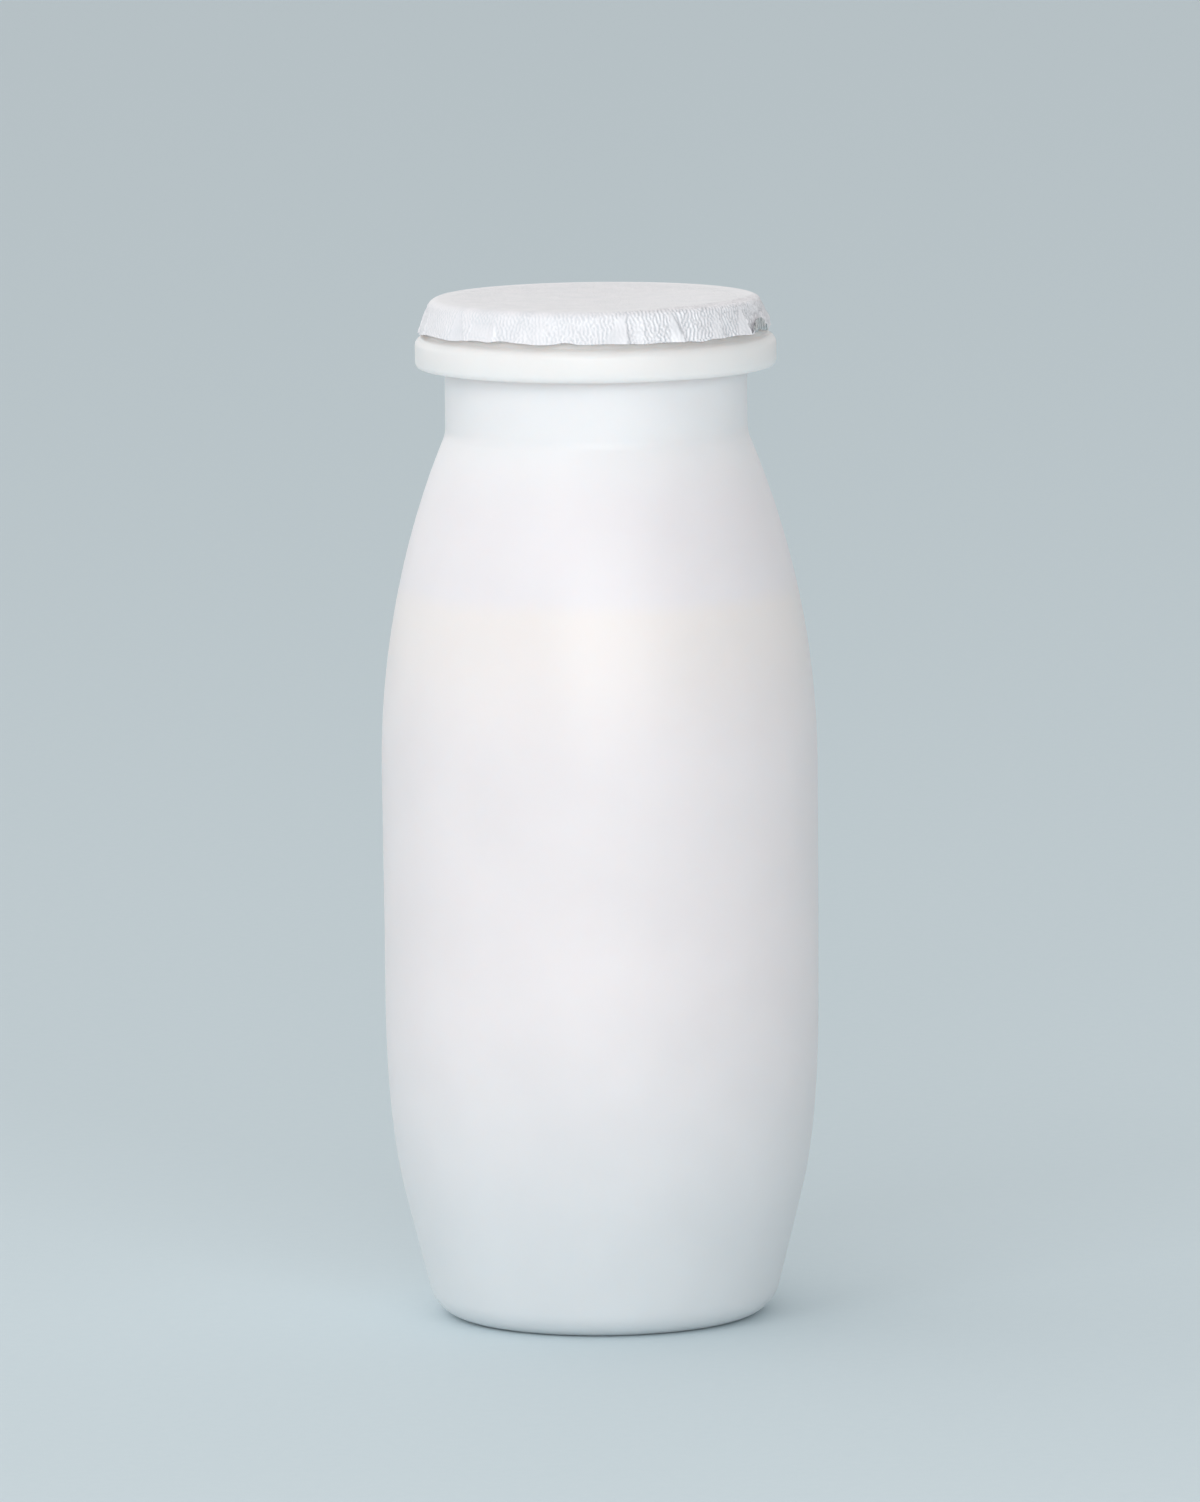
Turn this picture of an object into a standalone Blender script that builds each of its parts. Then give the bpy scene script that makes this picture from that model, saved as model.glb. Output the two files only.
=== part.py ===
"""A 100 g drinking-yogurt bottle: a blow-moulded white bottle, shut by a crimped foil lid.

Units are metres, +Z is up, and the origin is the centre of the base, on the surface that it stands on.
Azimuths are in degrees, counted from the front (-Y) towards the right (+X).
"""

import math
import random

import bmesh
import bpy
from mathutils import Vector

MM = 0.001

# Bottle: the body
BODY_RADIUS = 22.0 * MM
PANEL_TOP_Z = 56.0 * MM
PANEL_LOW_Z = 33.0 * MM
PANEL_LOW_RADIUS = 21.9 * MM
SHOULDER_ARC = 87.5 * MM
TAPER_TOP_Z = 12.3 * MM
TAPER_TOP_RADIUS = 20.05 * MM
TAPER_SLOPE = 0.25
FOOT_FILLET = 3.8 * MM
BOTTLE_SEGMENTS = 72

# Bottle: the recess pushed up into the base
STANDING_RING_WIDTH = 1.3 * MM
RECESS_DEPTH = 1.8 * MM
RECESS_STEP_DEPTH = 1.5 * MM
RECESS_STEP_WIDTH = 2.4 * MM

# Bottle: the neck, the flange under the lid and the rim inside the lid
NECK_RADIUS = 15.2 * MM
NECK_FILLET = 3.2 * MM
FLANGE_RADIUS = 18.17 * MM
FLANGE_BOTTOM_Z = 96.5 * MM
FLANGE_TOP_Z = 99.7 * MM
FLANGE_TOP_ROUND = 0.75 * MM
FLANGE_LOW_ROUND = 0.45 * MM
FLANGE_ROOT_FILLET = 0.5 * MM
RIM_TOP_RADIUS = 16.4 * MM
RIM_FOOT_RADIUS = 17.0 * MM
RIM_ROUND = 0.5 * MM
RIM_FILLET = 0.4 * MM

# Lid: a disc of foil, folded down over the rim
TOTAL_HEIGHT = 103.5 * MM
FOIL_THICKNESS = 0.25 * MM
SEAT_GAP = 0.3 * MM
DISH_DEPTH = 0.4 * MM
DISH_RADIUS = 14.2 * MM
FOLD_START_RADIUS = 16.3 * MM
FOLD_ROUND = 0.85 * MM
SKIRT_LEAN = 15.0
SKIRT_EDGE_RADIUS = 17.75 * MM
SKIRT_EDGE_Z = 100.35 * MM
SKIRT_ROWS = 5
LID_SEGMENTS = 140

# Lid: the crimped folds. The foil rises from the left of a fold to its crease, and drops back behind it.
# Each is (azimuth of its tip, spread to the left, spread to the right, height, width of the dip behind it).
FRONT_FOLDS = (
    (-78.0, 5.0, 2.0, 0.16 * MM, 7.0),
    (-54.5, 3.5, 4.5, 0.30 * MM, 12.0),
    (-13.0, 9.0, 1.5, 0.14 * MM, 4.0),
    (9.5, 7.0, 1.0, 0.26 * MM, 6.0),
    (26.6, 1.0, 4.7, 0.32 * MM, 5.0),
    (47.0, 4.0, 1.0, 0.14 * MM, 6.0),
    (59.2, 4.8, 4.8, 0.32 * MM, 4.0),
)
BACK_FOLDS_FROM = 92.0
BACK_FOLDS_TO = 266.0
BACK_FOLD_SPACING = (14.0, 24.0)
BACK_FOLD_LEFT = (1.5, 7.0)
BACK_FOLD_RIGHT = (1.0, 4.8)
BACK_FOLD_HEIGHT = (0.14 * MM, 0.32 * MM)
BACK_FOLD_DIP = (4.0, 11.0)
FOLD_SEED = 7
FOLD_FOOT = 0.5
CREASE_WIDTH = 2.5
DIP_SHARE = 0.45

# Lid: the free edge of the skirt, which hangs lower or higher from place to place.
# Each is (azimuth, half width, how far the edge is raised).
EDGE_WAVES = (
    (-90.0, 20.0, -0.20 * MM),
    (-25.0, 12.0, -0.22 * MM),
    (-42.0, 7.0, 0.10 * MM),
    (-10.0, 4.0, 0.12 * MM),
    (20.0, 16.0, -0.08 * MM),
)
EDGE_RIPPLE = 0.06 * MM
RIPPLES_ROUND = 17.0
SWELLS_ROUND = 5.0
SWELL_PHASE = 40.0
LIFTED_AZIMUTH = 73.5
LIFTED_HALF_WIDTH = 9.5
LIFTED_BY = 0.4 * MM
LIFTED_FLARE = 0.3 * MM

WHITE_PLASTIC = (0.86, 0.865, 0.87, 1.0)
WHITE_LACQUER = (0.85, 0.86, 0.875, 1.0)
PLASTIC_ROUGHNESS = 0.38
LACQUER_ROUGHNESS = 0.42
SHARP_ANGLE = math.radians(35.0)
MERGE_DISTANCE = 0.01 * MM


def clear_scene():
    """Removes everything that the scene starts with."""
    for obj in list(bpy.data.objects):
        bpy.data.objects.remove(obj)


def plain_material(name, colour, roughness, metallic=0.0):
    """A Principled material of one colour."""
    material = bpy.data.materials.new(name)
    material.use_nodes = True
    shader = material.node_tree.nodes["Principled BSDF"]
    shader.inputs["Base Color"].default_value = colour
    shader.inputs["Roughness"].default_value = roughness
    shader.inputs["Metallic"].default_value = metallic
    material.diffuse_color = colour
    return material


def arc(centre, radius, start, end, count):
    """Points (radius, height) along an arc, with its angles in degrees from +r towards +z."""
    angles = [math.radians(start + (end - start) * i / count) for i in range(count + 1)]
    return [(centre[0] + radius * math.cos(a), centre[1] + radius * math.sin(a)) for a in angles]


def quadratic(start, control, end, count):
    """Points along a curve that leaves start and reaches end in the directions of the control point."""
    points = []
    for i in range(count + 1):
        t = i / count
        weights = ((1.0 - t) ** 2, 2.0 * t * (1.0 - t), t * t)
        points.append(
            tuple(sum(w * p[axis] for w, p in zip(weights, (start, control, end))) for axis in (0, 1))
        )
    return points


def dish(top_z, count):
    """Points from the axis out to the sealing land, along a shallow parabola: the sagging foil."""
    radii = [DISH_RADIUS * i / count for i in range(count + 1)]
    return [(r, top_z - DISH_DEPTH * (1.0 - (r / DISH_RADIUS) ** 2)) for r in radii]


def shut_mouth_outline():
    """The bottle's top inside the lid: the shut mouth under the sagging foil, and the sealing land."""
    land_z = TOTAL_HEIGHT - FOIL_THICKNESS - SEAT_GAP
    return dish(land_z, 3) + arc((RIM_TOP_RADIUS - RIM_ROUND, land_z - RIM_ROUND), RIM_ROUND, 90.0, 0.0, 3)


def flange_outline():
    """The ring under the lid, from the fillet at the foot of the rim round to the neck."""
    rim_foot = arc(
        (RIM_FOOT_RADIUS + RIM_FILLET, FLANGE_TOP_Z + RIM_FILLET),
        RIM_FILLET, 180.0, 270.0, 2,
    )
    top = arc(
        (FLANGE_RADIUS - FLANGE_TOP_ROUND, FLANGE_TOP_Z - FLANGE_TOP_ROUND),
        FLANGE_TOP_ROUND, 90.0, 0.0, 4,
    )
    low = arc(
        (FLANGE_RADIUS - FLANGE_LOW_ROUND, FLANGE_BOTTOM_Z + FLANGE_LOW_ROUND),
        FLANGE_LOW_ROUND, 0.0, -90.0, 3,
    )
    root = arc(
        (NECK_RADIUS + FLANGE_ROOT_FILLET, FLANGE_BOTTOM_Z - FLANGE_ROOT_FILLET),
        FLANGE_ROOT_FILLET, 90.0, 180.0, 3,
    )
    return rim_foot + top + low + root


def shoulder_outline():
    """The fillet at the foot of the neck, and the long convex shoulder, which is tangent to it."""
    centre = (BODY_RADIUS - SHOULDER_ARC, PANEL_TOP_Z)
    fillet_r = NECK_RADIUS + NECK_FILLET
    reach = SHOULDER_ARC + NECK_FILLET
    fillet_z = centre[1] + math.sqrt(reach**2 - (fillet_r - centre[0]) ** 2)
    touch = math.degrees(math.atan2(fillet_z - centre[1], fillet_r - centre[0]))
    fillet = arc((fillet_r, fillet_z), NECK_FILLET, 180.0, 180.0 + touch, 4)
    return fillet + arc(centre, SHOULDER_ARC, touch, 0.0, 8)[1:]


def heel_outline():
    """The body drawn in below the panel, the cone under it, and the fillet that rounds it into the base."""
    control_z = TAPER_TOP_Z + (PANEL_LOW_RADIUS - TAPER_TOP_RADIUS) / TAPER_SLOPE
    curve = quadratic(
        (PANEL_LOW_RADIUS, PANEL_LOW_Z), (PANEL_LOW_RADIUS, control_z), (TAPER_TOP_RADIUS, TAPER_TOP_Z), 6
    )
    lean = math.atan(TAPER_SLOPE)
    outward = (math.cos(lean), -math.sin(lean))
    along = TAPER_TOP_RADIUS * outward[0] + (TAPER_TOP_Z - FOOT_FILLET) * outward[1]
    foot_r = (along - FOOT_FILLET) / outward[0]
    fillet = arc((foot_r, FOOT_FILLET), FOOT_FILLET, -math.degrees(lean), -90.0, 5)
    return curve + fillet, foot_r


def base_outline(foot_r):
    """The standing ring, and the recess inside it that keeps the bottle from rocking."""
    ring_r = foot_r - STANDING_RING_WIDTH
    step_r = ring_r - RECESS_STEP_WIDTH
    step = quadratic((ring_r, 0.0), (ring_r, RECESS_STEP_DEPTH), (step_r, RECESS_STEP_DEPTH), 3)
    return step + [(0.0, RECESS_DEPTH)]


def bottle_outline():
    """The whole half outline of the bottle, from the middle of its top down to the middle of its base."""
    heel, foot_r = heel_outline()
    return shut_mouth_outline() + flange_outline() + shoulder_outline() + heel + base_outline(foot_r)


def spun(outline, segments):
    """A bmesh turned from a half outline, with the points on the axis merged and its normals outward."""
    shape = bmesh.new()
    points = [shape.verts.new((r, 0.0, z)) for r, z in outline]
    for upper, lower in zip(points, points[1:]):
        shape.edges.new((upper, lower))
    bmesh.ops.spin(
        shape, geom=shape.verts[:] + shape.edges[:], cent=Vector(), axis=Vector((0, 0, 1)),
        angle=math.tau, steps=segments, use_merge=True, use_duplicate=False,
    )
    bmesh.ops.remove_doubles(shape, verts=shape.verts, dist=MERGE_DISTANCE)
    bmesh.ops.recalc_face_normals(shape, faces=shape.faces)
    return shape


def finished_object(name, shape, material):
    """Puts a bmesh into the scene as a smooth-shaded object with creases kept sharp."""
    mesh = bpy.data.meshes.new(name)
    shape.to_mesh(mesh)
    shape.free()
    mesh.shade_smooth()
    mesh.set_sharp_from_angle(angle=SHARP_ANGLE)
    mesh.materials.append(material)
    obj = bpy.data.objects.new(name, mesh)
    bpy.context.scene.collection.objects.link(obj)
    return obj


def all_folds():
    """The folds read from the front, and seeded ones of the same kind round the back."""
    draw = random.Random(FOLD_SEED)
    folds = list(FRONT_FOLDS)
    azimuth = BACK_FOLDS_FROM
    while azimuth < BACK_FOLDS_TO:
        ranges = (BACK_FOLD_LEFT, BACK_FOLD_RIGHT, BACK_FOLD_HEIGHT, BACK_FOLD_DIP)
        folds.append((azimuth, *(draw.uniform(*limits) for limits in ranges)))
        azimuth += draw.uniform(*BACK_FOLD_SPACING)
    return folds


def turned_by(azimuth, middle):
    """How far an azimuth lies to the right of another, from -180 to 180 degrees."""
    return (azimuth - middle + 180.0) % 360.0 - 180.0


def ramp(value, low, high):
    """0 below low, 1 above high and a straight line between them."""
    return min(1.0, max(0.0, (value - low) / (high - low)))


def bump(distance, half_width):
    """1 in the middle and 0 from half_width on, with a round top and soft feet."""
    return 0.5 + 0.5 * math.cos(math.pi * min(1.0, abs(distance) / half_width))


def fold_relief(azimuth, down, folds):
    """How far the folds push the skirt outwards. down is 0 at the skirt's top and 1 at its free edge."""
    out = 0.0
    for tip, left, right, height, dip in folds:
        place = turned_by(azimuth, tip)
        crease = right * down
        rise = ramp(place, -left * down - FOLD_FOOT, crease)
        drop = ramp(place, crease, crease + CREASE_WIDTH)
        recover = ramp(place, crease + CREASE_WIDTH, crease + CREASE_WIDTH + dip)
        out += height * (rise - (1.0 + DIP_SHARE) * drop + DIP_SHARE * recover)
    return out * down


def edge_raise(azimuth):
    """How far the skirt's free edge stands above its usual height."""
    swell = math.sin(math.radians(SWELLS_ROUND * azimuth + SWELL_PHASE))
    ripple = EDGE_RIPPLE * swell * math.sin(math.radians(RIPPLES_ROUND * azimuth))
    waves = sum(rise * bump(turned_by(azimuth, middle), half) for middle, half, rise in EDGE_WAVES)
    return ripple + waves + LIFTED_BY * bump(turned_by(azimuth, LIFTED_AZIMUTH), LIFTED_HALF_WIDTH)


def lid_outline():
    """The lid's outer face before it is crimped, from its middle out to the free edge of the skirt."""
    fold = arc((FOLD_START_RADIUS, TOTAL_HEIGHT - FOLD_ROUND), FOLD_ROUND, 90.0, SKIRT_LEAN, 3)
    top_r, top_z = fold[-1]
    skirt = [
        (
            top_r + (SKIRT_EDGE_RADIUS - top_r) * i / SKIRT_ROWS,
            top_z + (SKIRT_EDGE_Z - top_z) * i / SKIRT_ROWS,
        )
        for i in range(1, SKIRT_ROWS + 1)
    ]
    return dish(TOTAL_HEIGHT, 3) + fold + skirt, top_z


def crimp(shape, skirt_top_z):
    """Moves the skirt's points out and in by the folds, and its free edge up and down."""
    folds = all_folds()
    for point in shape.verts:
        x, y, z = point.co
        down = (skirt_top_z - z) / (skirt_top_z - SKIRT_EDGE_Z)
        if down <= 0.0:
            continue
        azimuth = math.degrees(math.atan2(x, -y))
        lifted = bump(turned_by(azimuth, LIFTED_AZIMUTH), LIFTED_HALF_WIDTH) * down
        radius = math.hypot(x, y) + fold_relief(azimuth, down, folds) + LIFTED_FLARE * lifted
        point.co = (
            radius * math.sin(math.radians(azimuth)),
            -radius * math.cos(math.radians(azimuth)),
            z + edge_raise(azimuth) * down,
        )


def make_bottle():
    """The blow-moulded bottle, one solid as it is shut."""
    material = plain_material("white_hdpe", WHITE_PLASTIC, PLASTIC_ROUGHNESS)
    return finished_object("bottle", spun(bottle_outline(), BOTTLE_SEGMENTS), material)


def make_foil_lid():
    """The lid: one skin of foil with an even thickness, which lies inwards of its outer face."""
    material = plain_material("lacquered_foil", WHITE_LACQUER, LACQUER_ROUGHNESS)
    outline, skirt_top_z = lid_outline()
    shape = spun(outline, LID_SEGMENTS)
    crimp(shape, skirt_top_z)
    lid = finished_object("foil_lid", shape, material)
    skin = lid.modifiers.new("foil thickness", "SOLIDIFY")
    skin.thickness = FOIL_THICKNESS
    skin.offset = -1.0
    return lid


def main():
    clear_scene()
    make_bottle()
    make_foil_lid()


main()
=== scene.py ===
"""A 100 g drinking-yogurt bottle of milky polyethylene, shut by a crimped and embossed foil lid.

Lengths are metres, +Z is up and the front faces -Y. Azimuths are in degrees, counted from the front
towards the right (+X). The two CAD nodes are replaced by finer surfaces of the same form, worked out on
numpy grids.
"""

import logging
import math
import random
from dataclasses import dataclass
from enum import Enum, IntEnum

import bpy
import numpy as np
from bpy.types import Material, Node, NodeSocket, NodeTree, Object
from mathutils import Matrix, Vector


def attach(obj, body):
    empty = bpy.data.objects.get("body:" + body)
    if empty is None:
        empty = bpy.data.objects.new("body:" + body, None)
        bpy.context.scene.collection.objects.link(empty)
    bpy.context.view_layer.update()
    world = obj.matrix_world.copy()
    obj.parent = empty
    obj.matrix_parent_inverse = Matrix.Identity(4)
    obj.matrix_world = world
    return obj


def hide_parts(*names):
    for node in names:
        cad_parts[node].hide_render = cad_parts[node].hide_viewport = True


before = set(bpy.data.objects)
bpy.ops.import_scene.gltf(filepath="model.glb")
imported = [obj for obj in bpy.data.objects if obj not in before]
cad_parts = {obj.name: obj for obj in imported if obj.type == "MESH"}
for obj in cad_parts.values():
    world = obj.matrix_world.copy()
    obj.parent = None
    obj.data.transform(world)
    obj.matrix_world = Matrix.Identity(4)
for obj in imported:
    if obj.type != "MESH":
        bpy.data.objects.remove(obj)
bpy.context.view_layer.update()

MM = 0.001
Array = np.ndarray
# A radius and a height.
Point = tuple[float, float]
# The two ends of a range.
Span = tuple[float, float]
Colour = tuple[float, float, float, float]
# An azimuth, a half width in degrees, and an amount.
Wave = tuple[float, float, float]
# Nearly all values of a noise texture lie in this span.
NOISE_SPAN = {"From Min": 0.3, "From Max": 0.7}
log = logging.getLogger("yogurt_bottle")


def to_linear(hex_colour: str) -> Colour:
    """Turns an sRGB colour into the linear one that shaders and lights work in.

    Args:
        hex_colour: The colour as "#rrggbb".

    Returns:
        Linear red, green and blue, and 1 for alpha.
    """
    channels = (int(hex_colour[i:i + 2], 16) / 255.0 for i in (1, 3, 5))
    linear = (c / 12.92 if c <= 0.04045 else ((c + 0.055) / 1.055) ** 2.4 for c in channels)
    return (*linear, 1.0)


def ramp(value: Array, low: float | Array, high: float | Array) -> Array:
    """0 below low, 1 above high and a straight line between them."""
    return np.clip((value - low) / (high - low), 0.0, 1.0)


def soft_ramp(value: Array, low: float | Array, high: float | Array) -> Array:
    """0 below low, 1 above high and an S-shaped rise between them: 3t^2 - 2t^3."""
    t = ramp(value, low, high)
    return t * t * (3.0 - 2.0 * t)


def bump(distance: Array, half_width: float) -> Array:
    """1 in the middle and 0 from half_width on, half a cosine wave in between."""
    return 0.5 + 0.5 * np.cos(np.pi * np.minimum(1.0, np.abs(distance) / half_width))


def turned_by(azimuth: Array, middle: float) -> Array:
    """How far an azimuth lies to the right of another, from -180 to 180 degrees."""
    return (azimuth - middle + 180.0) % 360.0 - 180.0


def waves(azimuth: Array, parts: tuple[Wave, ...]) -> Array:
    """The sum of the parts, each a bump at its azimuth."""
    return sum(amount * bump(turned_by(azimuth, middle), width) for middle, width, amount in parts)


def line(start: Point, end: Point, count: int) -> Array:
    """Evenly spaced points (radius, height) from start to end."""
    return np.linspace(start, end, count + 1)


def arc(centre: Point, radius: float, start: float, end: float, count: int) -> Array:
    """Points (radius, height) on an arc: the centre plus radius times (cos, sin) of evenly spaced angles.

    Args:
        centre: The centre of the arc.
        radius: Its radius.
        start: The first angle in degrees, from +radius towards +height.
        end: The last angle in degrees.
        count: The number of steps.

    Returns:
        An array of count + 1 points.
    """
    angles = np.radians(np.linspace(start, end, count + 1))
    return np.array(centre) + radius * np.stack([np.cos(angles), np.sin(angles)], axis=1)


def quadratic(start: Point, control: Point, end: Point, count: int) -> Array:
    """Points on the curve (1-t)^2 start + 2t(1-t) control + t^2 end, for t from 0 to 1.

    Args:
        start: The first point.
        control: The point that the curve leaves start towards, and reaches end from.
        end: The last point.
        count: The number of steps.

    Returns:
        An array of count + 1 points.
    """
    t = np.linspace(0.0, 1.0, count + 1)[:, None]
    return (1.0 - t) ** 2 * np.array(start) + 2.0 * t * (1.0 - t) * np.array(control) + t**2 * np.array(end)


def joined(*runs: Array) -> Array:
    """Runs of points in one array, without the points that lie on the one before."""
    points = np.concatenate(runs)
    gaps = np.linalg.norm(np.diff(points, axis=0), axis=1)
    return points[np.concatenate([[True], gaps > 0.001 * MM])]


def dish(top_z: float, depth: float, radius: float, radii: Array) -> Array:
    """The sagging foil: a parabola that is depth below top_z on the axis and meets it at radius."""
    return np.stack([radii, top_z - depth * (1.0 - (radii / radius) ** 2)], axis=1)


def around(radius: Array, height: Array, azimuth: Array) -> Array:
    """Points x = r sin(azimuth), y = -r cos(azimuth), z = height.

    Args:
        radius: Distances from the axis, in rows and columns.
        height: Heights, in rows and columns.
        azimuth: One azimuth for each column, in degrees.

    Returns:
        An array of rows by columns by 3.
    """
    angle = np.radians(azimuth)[None, :]
    return np.stack([radius * np.sin(angle), -radius * np.cos(angle), height + 0.0 * angle], axis=-1)


def new_object(name: str, data: bpy.types.ID) -> Object:
    """Puts a mesh, a light or a camera into the scene.

    Args:
        name: The object's name.
        data: What it shows.

    Returns:
        The new object.
    """
    made = bpy.data.objects.new(name, data)
    bpy.context.scene.collection.objects.link(made)
    return made


def closed_object(name: str, points: Array, materials: list[Material],
                  row_material: Array, sharp_angle: float) -> Object:
    """A closed surface from a grid whose columns run round the axis and whose end rows are its poles.

    Each pole row becomes one vertex with a fan of triangles, and every other cell is a quad, so the
    surface has no seam. Rows run outwards and down from the top pole, which turns the faces outwards.

    Args:
        name: The object's name.
        points: Rows by columns by 3.
        materials: The materials that row_material counts in.
        row_material: The material of each band of faces between two rows.
        sharp_angle: Creases sharper than this, in degrees, stay sharp.

    Returns:
        The new object, linked to the scene.
    """
    columns = points.shape[1]
    vertices = np.concatenate([points[:1, 0], points[1:-1].reshape(-1, 3), points[-1:, 0]])
    ring = 1 + np.arange((points.shape[0] - 2) * columns).reshape(-1, columns)
    beside = np.roll(ring, -1, axis=1)
    quads = np.stack([ring[:-1], ring[1:], beside[1:], beside[:-1]], axis=-1).reshape(-1, 4)
    top = np.stack([np.zeros_like(ring[0]), ring[0], beside[0]], axis=-1)
    bottom = np.stack([ring[-1], np.full_like(ring[-1], len(vertices) - 1), beside[-1]], axis=-1)
    mesh = bpy.data.meshes.new(name)
    mesh.from_pydata(vertices.tolist(), [], top.tolist() + quads.tolist() + bottom.tolist())
    for material in materials:
        mesh.materials.append(material)
    mesh.polygons.foreach_set("material_index", np.repeat(row_material, columns).astype(np.int32))
    mesh.shade_smooth()
    mesh.set_sharp_from_angle(angle=math.radians(sharp_angle))
    return new_object(name, mesh)


def fill_inputs(tree: NodeTree, node: Node, inputs: dict) -> None:
    """Links the inputs that are given a socket, and sets the others to the value they are given."""
    for name, value in inputs.items():
        if isinstance(value, NodeSocket):
            tree.links.new(value, node.inputs[name])
        else:
            node.inputs[name].default_value = value


def add_node(tree: NodeTree, kind: str, inputs: dict | None = None, output: int | str = 0,
             **settings: object) -> NodeSocket:
    """Adds a shader node to a tree.

    Args:
        tree: The material's or world's node tree.
        kind: The node's type name, without the ShaderNode that it starts with.
        inputs: Values or sockets for its inputs, by name or number.
        output: The output that is wanted, by name or number.
        **settings: Its own properties.

    Returns:
        The socket of that output.
    """
    node = tree.nodes.new("ShaderNode" + kind)
    for name, value in settings.items():
        setattr(node, name, value)
    fill_inputs(tree, node, inputs or {})
    return node.outputs[output]


def new_material(name: str) -> tuple[Material, NodeTree, Node, NodeSocket]:
    """A new node material.

    Args:
        name: Its name.

    Returns:
        The material, its tree, its Principled shader and its Object coordinates.
    """
    material = bpy.data.materials.new(name)
    material.use_nodes = True
    tree = material.node_tree
    return material, tree, tree.nodes["Principled BSDF"], add_node(tree, "TexCoord", output="Object")


def blend_upwards(tree: NodeTree, value: NodeSocket, span: Span, below: Colour | NodeSocket,
                  above: str, rise: str = "SMOOTHSTEP") -> tuple[NodeSocket, NodeSocket]:
    """Passes from one colour to another while a value rises through a span.

    Args:
        tree: The material's node tree.
        value: The value that rises.
        span: Where the change starts and where it ends.
        below: The colour below the span, linear or a socket.
        above: The sRGB colour above it.
        rise: The shape of the rise, by the MapRange node's name for it.

    Returns:
        The blended colour, and the share of it that is the upper one.
    """
    share = add_node(tree, "MapRange", {
        "Value": value, "From Min": span[0], "From Max": span[1],
    }, interpolation_type=rise)
    colours = {0: share, 6: below, 7: to_linear(above)}
    return add_node(tree, "Mix", colours, 2, data_type="RGBA"), share


@dataclass(frozen=True)
class MilkyPolyethylene:
    """Blow-moulded high-density polyethylene: milky, satin and a little uneven.

    Light that has passed a millimetre or so under the surface softens every edge of shade. The yogurt shows
    through the wall as a slightly warmer white up to its level. Towards the foot the white is painted a
    little
    greyer and cooler: painted shade. The neck is painted a little whiter than the shoulder, painted light
    that lifts the shade under the flange, and in the flange light travels further.
    """

    flange: str = "#f7f0ed"
    # Painted light: the neck and the upper shoulder are painted whiter, which lifts the shade under the
    # flange.
    neck: str = "#efeeef"
    headspace: str = "#ede9eb"
    filled_top: str = "#f0eae8"
    filled_low: str = "#eee9ea"
    # Painted shade: the foot is painted greyer and cooler, fading out over the span above it.
    foot: str = "#dfe2e4"
    foot_shade_span: Span = (2.0 * MM, 40.0 * MM)
    neck_light_span: Span = (82.0 * MM, 92.0 * MM)
    flange_blend: Span = (95.2 * MM, 97.2 * MM)
    fill_level: float = 74.1 * MM
    level_softness: float = 2.4 * MM
    level_wander: float = 1.2 * MM
    warm_depth: float = 17.0 * MM
    ior: float = 1.54
    roughness: Span = (0.36, 0.44)
    scatter_radius: Span = (1.3 * MM, 5.0 * MM)
    cloud_size: float = 9.0 * MM
    cloud_contrast: float = 0.025
    peel_size: float = 0.7 * MM
    peel_height: float = 0.006 * MM

    def material(self) -> Material:
        """Builds the material on Object coordinates, with z as the height above the base.

        Returns:
            The material.
        """
        material, tree, shader, place = new_material("milky_hdpe")
        height = add_node(tree, "SeparateXYZ", {"Vector": place}, "Z")
        # The wall is thicker in some places than in others, which clouds the white by a percent or two.
        clouds = add_node(tree, "TexNoise", {"Vector": place, "Scale": 1.0 / self.cloud_size, "Detail": 2.0})
        # The clouds also smear the line of the fill level a little up and down.
        smeared = add_node(tree, "Math", {
            0: clouds, 1: self.level_wander, 2: height,
        }, operation="MULTIPLY_ADD")
        level, soft = self.fill_level + self.level_wander / 2, self.level_softness / 2
        # Upwards from the foot: painted shade at the foot, the yogurt's warmer white, the headspace, painted
        # light on the neck, and the flange's white.
        colour = to_linear(self.foot)
        for value, span, above in (
            (height, self.foot_shade_span, self.filled_low),
            (height, (self.fill_level - self.warm_depth, self.fill_level), self.filled_top),
            (smeared, (level - soft, level + soft), self.headspace),
            (height, self.neck_light_span, self.neck),
            (height, self.flange_blend, self.flange),
        ):
            colour, in_flange = blend_upwards(tree, value, span, colour, above)
        shade = add_node(tree, "MapRange", {
            "Value": clouds, **NOISE_SPAN, "To Min": 1.0 - self.cloud_contrast, "To Max": 1.0,
        })
        # The blown skin's orange peel breaks up the soft highlights.
        peel = add_node(tree, "TexNoise", {"Vector": place, "Scale": 1.0 / self.peel_size, "Detail": 1.0})
        fill_inputs(tree, shader, {
            "Base Color": add_node(tree, "VectorMath", {0: colour, "Scale": shade}, operation="SCALE"),
            "Roughness": add_node(tree, "MapRange", {
                "Value": clouds, **NOISE_SPAN, "To Min": self.roughness[0], "To Max": self.roughness[1],
            }),
            "Normal": add_node(tree, "Bump", {"Height": peel, "Distance": self.peel_height}),
            "IOR": self.ior, "Subsurface Weight": 1.0, "Subsurface Radius": (1.0, 0.9, 0.85),
            "Subsurface Scale": add_node(tree, "MapRange", {
                "Value": in_flange, "To Min": self.scatter_radius[0], "To Max": self.scatter_radius[1],
            }),
        })
        return material


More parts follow.
